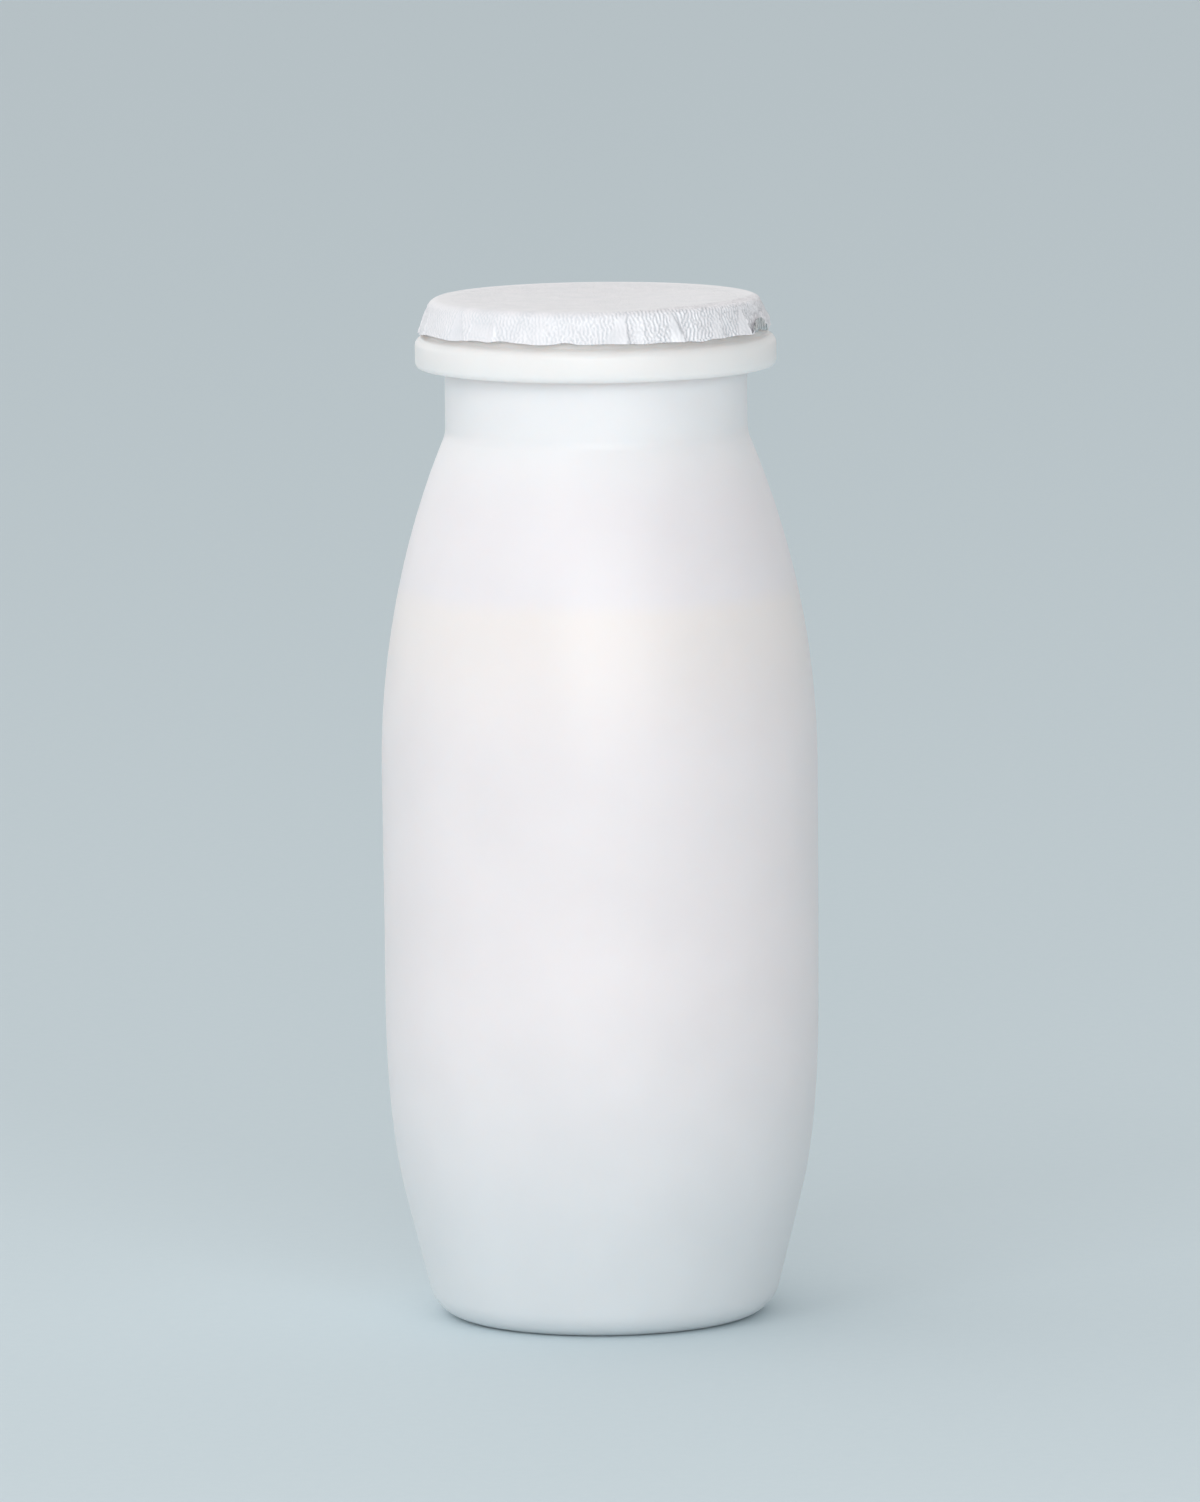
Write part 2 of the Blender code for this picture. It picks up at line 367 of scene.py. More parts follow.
@dataclass(frozen=True)
class LacqueredFoil:
    """Aluminium foil under a white heat-seal lacquer, embossed in the roll.

    The lacquer gives a dense, slightly cool white, with a soft gloss that picks out every ridge.
    """

    white: str = "#f0eef1"
    # Painted shade in the grooves of the embossing.
    groove_shade: str = "#cfd3d8"
    groove_shade_share: float = 0.8
    cover: Span = (0.6, 0.95)
    ior: float = 1.5
    roughness: Span = (0.3, 0.4)
    coat: float = 0.3
    coat_roughness: float = 0.22
    blotch_size: float = 2.4 * MM
    worm_size: float = 0.7 * MM
    worm_height: float = 0.05 * MM
    worm_fold: float = 0.14
    worm_strength: float = 0.9
    grain_size: float = 0.09 * MM
    grain_height: float = 0.002 * MM
    embossed_from: float = 14.4 * MM
    embossed_full: float = 15.2 * MM

    def material(self) -> Material:
        """Builds the lacquer, with the disc's shallow embossing as a bump up to where the mesh has it.

        Returns:
            The material.
        """
        material, tree, shader, place = new_material("lacquered_foil")
        blotches = add_node(tree, "TexNoise", {
            "Vector": place, "Scale": 1.0 / self.blotch_size, "Detail": 3.0,
        })
        # Painted shade: the grooves of the embossing are painted grey and its crests white, and blotches vary
        # the white at random.
        spread = add_node(tree, "MapRange", {
            "Value": blotches, **NOISE_SPAN, "To Min": self.cover[0], "To Max": self.cover[1],
        })
        crests = add_node(tree, "Attribute", output="Fac", attribute_name="embossing")
        shade_and_blotches = add_node(tree, "Math", {
            0: crests, 1: self.groove_shade_share, 2: spread,
        }, operation="MULTIPLY_ADD", use_clamp=True)
        colours = {0: shade_and_blotches, 6: to_linear(self.groove_shade), 7: to_linear(self.white)}
        across = add_node(tree, "VectorMath", {0: place, 1: (1.0, 1.0, 0.0)}, operation="MULTIPLY")
        on_disc = add_node(tree, "MapRange", {
            "Value": add_node(tree, "VectorMath", {0: across}, "Value", operation="LENGTH"),
            "From Min": self.embossed_full, "From Max": self.embossed_from,
        })
        # Winding ridges on the disc: a soft noise, folded again and again so that it turns into lines.
        worms = add_node(tree, "TexNoise", {
            "Vector": place, "Scale": 1.0 / self.worm_size, "Detail": 0.0, "Distortion": 0.4,
        })
        folded = add_node(tree, "Math", {0: worms, 1: self.worm_fold}, operation="PINGPONG")
        worm_relief = add_node(tree, "Bump", {
            "Height": add_node(tree, "Math", {0: folded, 1: on_disc}, operation="MULTIPLY"),
            "Distance": self.worm_height / self.worm_fold, "Strength": self.worm_strength,
        })
        # A grain too fine to be seen by itself takes the mirror look off the gloss.
        grain = add_node(tree, "TexNoise", {"Vector": place, "Scale": 1.0 / self.grain_size, "Detail": 1.0})
        fill_inputs(tree, shader, {
            "Base Color": add_node(tree, "Mix", colours, 2, data_type="RGBA"),
            "Roughness": add_node(tree, "MapRange", {
                "Value": blotches, "To Min": self.roughness[0], "To Max": self.roughness[1],
            }),
            "Normal": add_node(tree, "Bump", {
                "Height": grain, "Distance": self.grain_height, "Normal": worm_relief,
            }),
            "IOR": self.ior, "Coat Weight": self.coat, "Coat Roughness": self.coat_roughness,
        })
        return material


@dataclass(frozen=True)
class BareFoil:
    """The rolled aluminium inside the lid, bright and finely streaked along the rolling direction."""

    metal: str = "#dcdddd"
    dull: str = "#8b8d8e"
    roughness: Span = (0.16, 0.38)
    streak_width: float = 0.14 * MM
    streak_length: float = 2.5 * MM
    streak_height: float = 0.008 * MM
    scuffed_span: Span = (0.34, 0.5)

    def material(self) -> Material:
        """Builds the metal, with streaks that run up the skirt, drawn as coarse as they need to be to show.

        Returns:
            The material.
        """
        material, tree, shader, place = new_material("bare_aluminium_foil")
        stretched = add_node(tree, "Mapping", {
            "Vector": place,
            "Scale": (1.0 / self.streak_width, 1.0 / self.streak_width, 1.0 / self.streak_length),
        })
        streaks = add_node(tree, "TexNoise", {"Vector": stretched, "Scale": 1.0})
        # Scuffed streaks are duller than the bright metal between them.
        dull = to_linear(self.dull)
        colour, _ = blend_upwards(tree, streaks, self.scuffed_span, dull, self.metal, "LINEAR")
        fill_inputs(tree, shader, {
            "Base Color": colour, "Metallic": 1.0,
            "Roughness": add_node(tree, "MapRange", {
                "Value": streaks, **NOISE_SPAN, "To Min": self.roughness[0], "To Max": self.roughness[1],
            }),
            "Normal": add_node(tree, "Bump", {"Height": streaks, "Distance": self.streak_height}),
        })
        return material


@dataclass(frozen=True)
class StudioPaper:
    """Seamless background paper: dead matt, pale and cool, with a barely visible tooth."""

    colour: str = "#d8e5ea"
    shade: str = "#d4e2e8"
    roughness: float = 0.9
    tooth_size: float = 1.2 * MM
    tooth_height: float = 0.02 * MM

    def material(self) -> Material:
        """Builds the paper's material.

        Returns:
            The material.
        """
        material, tree, shader, place = new_material("studio_paper")
        # The tooth of the paper keeps the floor from looking like one flat tint.
        tooth = add_node(tree, "TexNoise", {"Vector": place, "Scale": 1.0 / self.tooth_size, "Detail": 2.0})
        colours = {0: tooth, 6: to_linear(self.shade), 7: to_linear(self.colour)}
        fill_inputs(tree, shader, {
            "Base Color": add_node(tree, "Mix", colours, 2, data_type="RGBA"),
            "Roughness": self.roughness, "Specular IOR Level": 0.2,
            "Normal": add_node(tree, "Bump", {"Height": tooth, "Distance": self.tooth_height}),
        })
        return material


@dataclass
class Bottle:
    """The blow-moulded bottle, one closed surface from its shut mouth to the recess in its base."""

    body_radius: float = 22.0 * MM
    panel_top_z: float = 56.0 * MM
    panel_low: Point = (21.9 * MM, 33.0 * MM)
    shoulder_arc: float = 87.5 * MM
    taper_top: Point = (20.05 * MM, 12.3 * MM)
    taper_slope: float = 0.25
    foot_fillet: float = 3.8 * MM
    standing_ring_width: float = 1.3 * MM
    recess_depth: float = 1.8 * MM
    recess_step_depth: float = 1.5 * MM
    recess_step_width: float = 2.4 * MM
    neck_radius: float = 15.2 * MM
    neck_fillet: float = 3.2 * MM
    flange_radius: float = 18.17 * MM
    flange_bottom_z: float = 96.5 * MM
    flange_top_z: float = 99.8 * MM
    flange_top_round: float = 1.05 * MM
    flange_low_round: float = 0.6 * MM
    flange_root_fillet: float = 0.5 * MM
    rim_top_radius: float = 16.5 * MM
    rim_foot_radius: float = 17.25 * MM
    rim_round: float = 0.6 * MM
    rim_fillet: float = 0.3 * MM
    land_z: float = 102.95 * MM
    dish_depth: float = 0.4 * MM
    dish_radius: float = 14.2 * MM
    # The two halves of the mould met at the left and right, and left a line there and a scar under the base.
    parting_height: float = 0.035 * MM
    parting_half_width: float = 0.22 * MM
    parting_foot: Span = (0.5 * MM, 3.0 * MM)
    pinch_height: float = 0.35 * MM
    pinch_half_width: float = 0.6 * MM
    pinch_length: float = 9.0 * MM
    pinch_fade: float = 1.5 * MM
    pinch_top_z: float = 2.0 * MM
    # The blown wall is never quite true: slow swells of a few hundredths of a millimetre.
    swell_height: float = 0.022 * MM
    swell_count: int = 7
    swell_turns: int = 5
    swell_rate: float = 260.0
    swell_foot: Span = (2.0 * MM, 14.0 * MM)
    swell_top: Span = (84.0 * MM, 91.0 * MM)
    swell_seed: int = 11
    columns: int = 400
    finish: MilkyPolyethylene = MilkyPolyethylene()

    def top_outline(self) -> Array:
        """The shut mouth and the rim inside the lid, then the flange and its foot at the neck.

        The fillet at the foot of the rim is tangent to the round of the flange's upper edge.

        Returns:
            Points (radius, height) from the axis to the neck.
        """
        rim_centre = (self.rim_top_radius - self.rim_round, self.land_z - self.rim_round)
        top_centre = (self.flange_radius - self.flange_top_round, self.flange_top_z - self.flange_top_round)
        foot_r = self.rim_foot_radius + self.rim_fillet
        reach = self.flange_top_round + self.rim_fillet
        touch = math.acos((foot_r - top_centre[0]) / reach)
        foot_centre = (foot_r, top_centre[1] + reach * math.sin(touch))
        low, root, bottom = self.flange_low_round, self.flange_root_fillet, self.flange_bottom_z
        return joined(
            dish(self.land_z, self.dish_depth, self.dish_radius, np.linspace(0.0, self.dish_radius, 6)),
            arc(rim_centre, self.rim_round, 90.0, 0.0, 4),
            line((self.rim_top_radius, rim_centre[1]), (self.rim_foot_radius, foot_centre[1]), 5),
            arc(foot_centre, self.rim_fillet, 180.0, 180.0 + math.degrees(touch), 5),
            arc(top_centre, self.flange_top_round, math.degrees(touch), 0.0, 9),
            arc((self.flange_radius - low, bottom + low), low, 0.0, -90.0, 6),
            arc((self.neck_radius + root, bottom - root), root, 90.0, 180.0, 6),
        )

    def shoulder_outline(self) -> Array:
        """The straight neck, the fillet at its foot, and the long convex shoulder, tangent to the fillet.

        Returns:
            Points (radius, height) from the neck to the top of the panel.
        """
        centre = (self.body_radius - self.shoulder_arc, self.panel_top_z)
        fillet_r = self.neck_radius + self.neck_fillet
        reach = self.shoulder_arc + self.neck_fillet
        fillet_z = centre[1] + math.sqrt(reach**2 - (fillet_r - centre[0]) ** 2)
        touch = math.degrees(math.atan2(fillet_z - centre[1], fillet_r - centre[0]))
        return joined(
            line((self.neck_radius, self.flange_bottom_z - self.flange_root_fillet),
                 (self.neck_radius, fillet_z), 6),
            arc((fillet_r, fillet_z), self.neck_fillet, 180.0, 180.0 + touch, 10),
            arc(centre, self.shoulder_arc, touch, 0.0, 34),
        )

    def low_outline(self) -> Array:
        """The panel, the curve and cone that draw the body in, the foot, the standing ring and the recess.

        Returns:
            Points (radius, height) from the top of the panel to the middle of the base.
        """
        control_z = self.taper_top[1] + (self.panel_low[0] - self.taper_top[0]) / self.taper_slope
        lean = math.atan(self.taper_slope)
        rise = self.taper_top[1] - self.foot_fillet
        along = self.taper_top[0] * math.cos(lean) - rise * math.sin(lean)
        foot_r = (along - self.foot_fillet) / math.cos(lean)
        ring_r = foot_r - self.standing_ring_width
        step_r = ring_r - self.recess_step_width
        foot = arc((foot_r, self.foot_fillet), self.foot_fillet, -math.degrees(lean), -90.0, 14)
        return joined(
            line((self.body_radius, self.panel_top_z), self.panel_low, 12),
            quadratic(self.panel_low, (self.panel_low[0], control_z), self.taper_top, 18),
            line(self.taper_top, tuple(foot[0]), 5),
            foot,
            quadratic((ring_r, 0.0), (ring_r, self.recess_step_depth), (step_r, self.recess_step_depth), 10),
            line((step_r, self.recess_step_depth), (0.0, self.recess_depth), 10),
        )

    def azimuths(self) -> Array:
        """Even azimuths, with extra ones at the parting lines for the shape of their narrow ridges."""
        even = np.arange(self.columns) * 360.0 / self.columns - 180.0
        beside = np.degrees(np.linspace(-1.0, 1.0, 9) * self.parting_half_width / self.body_radius)
        return np.unique(np.round(np.concatenate([even, beside - 90.0, beside + 90.0]), 6))

    def swells(self, azimuth: Array, height: Array) -> Array:
        """Seeded cosines of (whole turns x azimuth + rate x height + phase), summed and scaled.

        Args:
            azimuth: One azimuth for each column.
            height: Heights in rows and columns.

        Returns:
            How far the wall stands out, in rows and columns.
        """
        draw = random.Random(self.swell_seed)
        angle = np.radians(azimuth)[None, :]
        total = np.zeros_like(height)
        for _ in range(self.swell_count):
            turns = draw.randint(0, self.swell_turns)
            rate = draw.uniform(-self.swell_rate, self.swell_rate)
            total += np.cos(turns * angle + rate * height + draw.uniform(0.0, math.tau))
        body = soft_ramp(height, *self.swell_foot) * (1.0 - soft_ramp(height, *self.swell_top))
        return total * body * self.swell_height / math.sqrt(self.swell_count)

    def surface(self) -> Array:
        """The outline turned about the axis, plus the swells, the parting lines and the scar under the base.

        Returns:
            The grid of points.
        """
        outline = joined(self.top_outline(), self.shoulder_outline(), self.low_outline())
        azimuth = self.azimuths()
        radius = outline[:, :1] + np.zeros((1, len(azimuth)))
        height = outline[:, 1:] + np.zeros((1, len(azimuth)))
        radius = radius + self.swells(azimuth, height) * (radius > self.neck_radius)
        points = around(radius, height, azimuth)
        outside = soft_ramp(height, *self.parting_foot) * (height < self.flange_top_z)
        ridge = self.parting_height * bump(points[..., 1], self.parting_half_width) * outside
        points[..., 0] += np.sign(points[..., 0]) * ridge
        in_recess = (height > 0.0) & (height < self.pinch_top_z) & (radius < self.pinch_length)
        scar = self.pinch_height * bump(points[..., 1], self.pinch_half_width) * in_recess
        points[..., 2] -= scar * (1.0 - ramp(radius, self.pinch_length - self.pinch_fade, self.pinch_length))
        return points

    def build(self) -> Object:
        """Makes the bottle in place of its CAD solid.

        Returns:
            The bottle's object.
        """
        points = self.surface()
        row_material = np.zeros(points.shape[0] - 1)
        bottle = closed_object("milky_bottle", points, [self.finish.material()], row_material, 50.0)
        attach(bottle, "root")
        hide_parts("bottle")
        return bottle


class FoilSide(IntEnum):
    """The two sides of the foil, numbered as the lid's material slots."""

    LACQUER = 0
    METAL = 1


class FoldKind(Enum):
    """What a crimp does to the skirt between its left and right feet."""

    PLEAT = "pleat"
    PATCH = "patch"


@dataclass(frozen=True)
class Fold:
    """One fold of the skirt, in degrees and metres.

    A pleat rises from its left foot to a crease at its right, drops behind the crease and recovers over the
    dip; with a negative height it sinks to the crease and steps up behind it.
    A patch is pressed in between its feet and puckered across.
    """

    tip: float
    left: float
    right: float
    height: float
    dip: float
    kind: FoldKind = FoldKind.PLEAT


@dataclass
class FoilLid:
    """The foil lid: a disc that sags inside the rim, and folds down over it to a crimped, embossed skirt."""

    top_z: float = 103.5 * MM
    thickness: float = 0.07 * MM
    dish_depth: float = 0.4 * MM
    dish_radius: float = 14.2 * MM
    press_depth: float = 0.05 * MM
    press_width: float = 0.3 * MM
    fold_start_radius: float = 16.3 * MM
    fold_round: float = 0.85 * MM
    fold_round_swing: float = 0.3 * MM
    skirt_lean: float = 15.0
    skirt_edge_radius: float = 17.75 * MM
    skirt_edge_z: float = 100.35 * MM
    # The crimps that the front shows, and seeded ones of the same kind round the back.
    front_folds: tuple[Fold, ...] = (
        Fold(-78.0, 5.0, 2.0, 0.14 * MM, 7.0),
        Fold(-52.6, 3.4, 4.0, -0.34 * MM, 9.0),
        Fold(-45.6, 0.0, 8.8, 0.07 * MM, 0.0, FoldKind.PATCH),
        Fold(-35.8, 3.0, 0.4, 0.2 * MM, 3.0),
        Fold(-16.6, 7.0, 0.5, 0.18 * MM, 4.0),
        Fold(9.6, 7.0, 0.6, 0.42 * MM, 6.0),
        Fold(12.0, 0.0, 3.6, 0.06 * MM, 0.0, FoldKind.PATCH),
        Fold(15.8, 1.5, 0.4, 0.09 * MM, 2.0),
        Fold(26.1, 0.7, 3.4, 0.46 * MM, 5.0),
        Fold(44.6, 3.0, 1.5, 0.24 * MM, 5.0),
        Fold(59.4, 6.0, -1.3, 0.62 * MM, 3.0),
    )
    back_from: float = 92.0
    back_to: float = 266.0
    back_spacing: Span = (14.0, 24.0)
    back_left: Span = (1.5, 7.0)
    back_right: Span = (1.0, 4.8)
    back_height: Span = (0.14 * MM, 0.32 * MM)
    back_dip: Span = (4.0, 11.0)
    fold_seed: int = 7
    fold_foot: float = 0.5
    crease_width: float = 1.3
    dip_share: float = 0.45
    pucker_length: float = 0.5 * MM
    pucker_height: float = 0.022 * MM
    # A patch has soft feet, starts part of the way down, and presses most of the embossing flat.
    patch_foot: float = 0.8
    patch_start: Span = (0.25, 0.5)
    patch_press: float = 0.7
    # So do the turned-up edge and the facet of a pleat, a low one less than a high one.
    folded_press: float = 0.8
    folded_press_height: float = 0.4 * MM
    # The folds start a little above the end of the round at the top of the skirt.
    folds_above: float = 0.6 * MM
    # How far the free edge is raised here and there, and a ripple whose height swells and fades.
    edge_waves: tuple[Wave, ...] = (
        (-90.0, 24.0, -0.42 * MM), (-57.0, 11.0, -0.22 * MM), (-42.0, 7.0, 0.06 * MM),
        (-32.5, 6.0, 0.18 * MM), (-22.0, 9.0, -0.05 * MM), (-10.0, 5.0, 0.16 * MM),
        (36.6, 5.0, -0.18 * MM), (50.0, 12.0, 0.12 * MM), (70.0, 13.0, 0.32 * MM),
    )
    edge_ripple: float = 0.06 * MM
    ripples_round: float = 17.0
    swells_round: float = 5.0
    swell_phase: float = 40.0
    # At the left and the right the edge is tucked in by these depths.
    tucks: tuple[Wave, ...] = ((-92.0, 45.0, 0.06 * MM), (92.0, 30.0, 0.28 * MM))
    tuck_start: Span = (0.7, 1.0)
    # There the skirt also leans more, by these degrees, and its fold lies further in.
    leans: tuple[Wave, ...] = ((-92.0, 50.0, 4.0), (92.0, 60.0, 9.0))
    # At the right the edge has turned up on itself, shows the metal, and is pressed flat past the bend.
    hem_azimuth: float = 69.6
    hem_half_width: float = 8.0
    hem_length: float = 1.05 * MM
    hem_bend: float = 0.1 * MM
    hem_turn: float = 166.0
    hem_flare: float = -0.2 * MM
    hem_fade: float = 0.16
    hem_taper: float = 0.75
    hem_roundness: float = 2.2
    hem_flat_below: float = 60.0
    edge_run: float = 0.22 * MM
    # The embossing: winding ridges, mostly up and down the skirt.
    ridge_pitch: float = 0.41 * MM
    ridge_height: float = 0.085 * MM
    ridge_spread: float = 0.3
    ridge_lean: float = 62.0
    ridge_sharpness: float = 1.5
    # On the inner side it starts only this share of the way down.
    inner_start: float = 0.3
    ridge_seed: int = 3
    # It is crisp on the right, where it starts on the land already, and faint elsewhere.
    embossed_from: float = 16.4 * MM
    embossed_full: float = 17.4 * MM
    embossed_reach: float = 2.4 * MM
    reach_half_width: float = 62.0
    crisp_azimuth: float = 55.0
    crisp_half_width: float = 90.0
    faint_share: float = 0.42
    buckle_length: float = 3.2 * MM
    buckle_height: float = 0.035 * MM
    buckle_spread: float = 0.4
    buckle_start: Span = (0.15, 0.6)
    # The disc has slow dents.
    dent_count: int = 6
    dent_length: Span = (8.0 * MM, 15.0 * MM)
    dent_height: float = 0.018 * MM
    dent_axis: Span = (-1.0 * MM, 3.0 * MM)
    dent_edge: float = 11.5 * MM
    field_step: float = 0.06 * MM
    field_rows: int = 160
    columns: int = 1080
    # Rows of the grid on the land, the fold, the skirt, the bend and the hem, and radii of those on the disc.
    outer_rows: tuple[int, ...] = (14, 9, 14, 5, 7)
    inner_rows: tuple[int, ...] = (2, 4, 14, 5, 7)
    outer_disc: tuple[float, ...] = (
        0.0, 3.0 * MM, 6.0 * MM, 8.5 * MM, 10.5 * MM, 12.2 * MM, 13.3 * MM, 13.9 * MM,
    )
    inner_disc: tuple[float, ...] = (0.0, 8.0 * MM)
    lacquer: LacqueredFoil = LacqueredFoil()
    metal: BareFoil = BareFoil()

    def folds(self) -> list[Fold]:
        """The front folds, and seeded ones of the same kind round the back."""
        draw = random.Random(self.fold_seed)
        folds = list(self.front_folds)
        azimuth = self.back_from
        while azimuth < self.back_to:
            ranges = (self.back_left, self.back_right, self.back_height, self.back_dip)
            folds.append(Fold(azimuth, *(draw.uniform(*limits) for limits in ranges)))
            azimuth += draw.uniform(*self.back_spacing)
        return folds

    def fold_relief(self, azimuth: Array, down: Array) -> tuple[Array, Array]:
        """How far the folds push the skirt out, and how flat they have pressed its embossing.

        A pleat is height x (rise - (1 + share) drop + share recovery), each a ramp in azimuth, and all of it
        grows from nothing at the top of the skirt to its full height at the free edge. A patch is a shallow
        hollow with a sine wave of puckers that run round the skirt.

        Args:
            azimuth: One azimuth for each column.
            down: 0 at the top of the skirt and 1 at its free edge, in rows and columns.

        Returns:
            The push in metres, and a factor from 0 to 1 for the embossing.
        """
        out = np.zeros_like(down)
        keep = np.ones_like(down)
        skirt_length = self.top_z - self.skirt_edge_z
        for fold in self.folds():
            place = turned_by(azimuth, fold.tip)[None, :] + 0.0 * down
            if fold.kind is FoldKind.PATCH:
                inside = soft_ramp(place, 0.0, self.patch_foot) * soft_ramp(down, *self.patch_start)
                inside *= 1.0 - soft_ramp(place, fold.right - self.patch_foot, fold.right)
                puckers = self.pucker_height * np.sin(down * skirt_length * math.tau / self.pucker_length)
                out += inside * (puckers - fold.height)
                keep *= 1.0 - self.patch_press * inside
                continue
            crease = fold.right * down
            foot = -fold.left * down - self.fold_foot
            behind = crease + self.crease_width
            rise = ramp(place, foot, crease) - (1.0 + self.dip_share) * soft_ramp(place, crease, behind)
            rise += self.dip_share * soft_ramp(place, behind, behind + fold.dip)
            out += fold.height * rise * down
            facet = (place > foot) & (place < crease)
            keep *= 1.0 - facet * min(self.folded_press, abs(fold.height) / self.folded_press_height)
        return out, keep

    def field(self, wavelength: float, spread: float, lean: float, seed: int) -> Array:
        """Seeded noise kept to one wavelength, on a grid that closes on itself both ways.

        White noise is Fourier transformed and weighted by exp(-((frequency x wavelength - 1) / spread)^2),
        times a Gaussian of the wave's angle from the run round the skirt, so that crests stand up and down.

        Args:
            wavelength: The distance between crests.
            spread: The share by which it may vary.
            lean: The spread of the crests' angles, in degrees.
            seed: The seed of the noise.

        Returns:
            Values about 0 with a standard deviation of 1, by path length and azimuth.
        """
        shape = (self.field_rows, self.columns)
        noise = np.random.default_rng(seed).standard_normal(shape)
        down = np.fft.fftfreq(shape[0], self.field_step)[:, None]
        round_step = math.tau * self.skirt_edge_radius / self.columns
        across = np.fft.fftfreq(shape[1], round_step)[None, :]
        band = np.exp(-((np.hypot(down, across) * wavelength - 1.0) / spread) ** 2)
        angle = np.degrees(np.arctan2(np.abs(down), np.abs(across) + 1e-9))
        made = np.fft.ifft2(np.fft.fft2(noise) * band * np.exp(-((angle / lean) ** 2))).real
        return made / made.std()

    def sampled(self, field: Array, path: Array) -> Array:
        """Reads a field at each point's path length, straight between its rows."""
        row = path / self.field_step
        low = np.clip(np.floor(row).astype(int), 0, self.field_rows - 2)
        share = row - low
        below = np.take_along_axis(field, low, axis=0)
        above = np.take_along_axis(field, low + 1, axis=0)
        return below + (above - below) * share

    def path_rows(self, azimuth: Array, counts: tuple[int, ...]) -> tuple[Array, Array, Array]:
        """The foil's path from the sealing land to its free edge, worked out from its slope.

        The slope turns from flat through the fold to the skirt's angle, and where the hem has turned up it
        swings back past flat until the foil points upwards. Adding cos and -sin of the slope along the path
        gives radius and height.

        Args:
            azimuth: One azimuth for each column.
            counts: Rows on the land, the fold, the skirt, the bend and the hem.

        Returns:
            The path length, radius, height and slope in rows and columns, stacked, the share of the way down
            the skirt, and the hem's weight for each column.
        """
        turn = np.radians(90.0 - self.skirt_lean - waves(azimuth, self.leans))
        usual_lean = math.tan(math.radians(self.skirt_lean))
        inset = (self.top_z - self.skirt_edge_z) * (1.0 / np.tan(turn) - usual_lean)
        fold_round = self.fold_round - self.fold_round_swing * np.sin(np.radians(azimuth))
        start = self.fold_start_radius - self.dish_radius - inset
        start = start + (self.fold_round - fold_round) * np.sin(turn)
        fold_end = start + fold_round * turn
        skirt_top_z = self.top_z - fold_round * (1.0 - np.cos(turn))
        hem = turned_by(azimuth, self.hem_azimuth) / self.hem_half_width
        weight = soft_ramp(1.0 - np.abs(hem), 0.0, self.hem_fade)
        swell = np.sin(np.radians(self.swells_round * azimuth + self.swell_phase))
        raised = self.edge_ripple * swell * np.sin(np.radians(self.ripples_round * azimuth))
        raised = raised + waves(azimuth, self.edge_waves)
        skirt_end = fold_end + (skirt_top_z - self.skirt_edge_z - raised) / np.sin(turn)
        bend = self.hem_bend * math.radians(self.hem_turn) * weight
        hem_run = self.hem_length * weight
        hem_run = hem_run * (1.0 - self.hem_taper * np.abs(hem).clip(0.0, 1.0) ** self.hem_roundness)
        spare = self.edge_run * (1.0 - weight)
        knots = np.stack([
            np.zeros_like(azimuth), start, fold_end, skirt_end - 2.0 * spare,
            skirt_end - spare + bend, skirt_end + bend + hem_run,
        ])
        rows = np.concatenate([[0], np.cumsum(counts)])
        place = np.arange(rows[-1] + 1)
        part = np.clip(np.searchsorted(rows, place, side="right") - 1, 0, len(counts) - 1)
        share = ((place - rows[part]) / np.array(counts)[part])[:, None]
        path = knots[part] + (knots[part + 1] - knots[part]) * share
        ends = (start, fold_end, skirt_end, bend, weight)
        slope = self.slope(path, ends, turn)
        before = np.concatenate([path[:1], path[:-1]])
        middle_slope = self.slope((path + before) / 2.0, ends, turn)
        radius = self.dish_radius + np.cumsum((path - before) * np.cos(middle_slope), axis=0)
        height = self.top_z - np.cumsum((path - before) * np.sin(middle_slope), axis=0)
        down = ramp(path, fold_end - self.folds_above, skirt_end)
        return np.stack([path, radius, height, slope]), down, weight

    def slope(self, path: Array, ends: tuple[Array, ...], turn: Array) -> Array:
        """The foil's slope below the horizontal, in radians: up to turn in the fold, and back in the bend."""
        start, fold_end, skirt_end, bend, weight = ends
        folded = turn * ramp(path, start, fold_end)
        swing = math.radians(self.hem_turn) * weight
        return folded - swing * ramp(path, skirt_end, skirt_end + np.maximum(bend, 0.001 * MM))

    def skin(self, azimuth: Array, counts: tuple[int, ...], disc_radii: Array,
             depth: float) -> tuple[Array, Array]:
        """One side of the foil, with its folds, its embossing and its buckles.

        Args:
            azimuth: One azimuth for each column.
            counts: Rows on the land, the fold, the skirt, the bend and the hem.
            disc_radii: The radii of the rows inside the sealing land, the first of them 0.
            depth: How far this side lies under the lacquered one.

        Returns:
            Points from the middle of the disc to the free edge, and the embossing there from -1 to 1.
        """
        (path, radius, height, slope), down, weight = self.path_rows(azimuth, counts)
        out, keep = self.fold_relief(azimuth, down)
        ridges = self.field(self.ridge_pitch, self.ridge_spread, self.ridge_lean, self.ridge_seed)
        buckles = self.field(self.buckle_length, self.buckle_spread, 90.0, self.ridge_seed + 1)
        from_crisp = turned_by(azimuth, self.crisp_azimuth)
        reach = self.embossed_reach * bump(from_crisp, self.reach_half_width)
        embossed = soft_ramp(self.dish_radius + path + reach, self.embossed_from, self.embossed_full)
        embossed *= self.faint_share + (1.0 - self.faint_share) * bump(from_crisp, self.crisp_half_width)
        embossed *= 1.0 - self.folded_press * (slope < math.radians(self.hem_flat_below)) * (down >= 1.0)
        crests = np.tanh(self.ridge_sharpness * self.sampled(ridges, path)) * embossed * keep
        lift = self.ridge_height * crests
        if depth > 0.0:
            on_skirt = soft_ramp(down, 0.0, self.inner_start)
            lift = lift * on_skirt - depth * (2.0 - on_skirt)
        lift = lift + self.buckle_height * self.sampled(buckles, path) * soft_ramp(down, *self.buckle_start)
        out = out + self.hem_flare * weight * down
        out = out - waves(azimuth, self.tucks) * soft_ramp(down, *self.tuck_start)
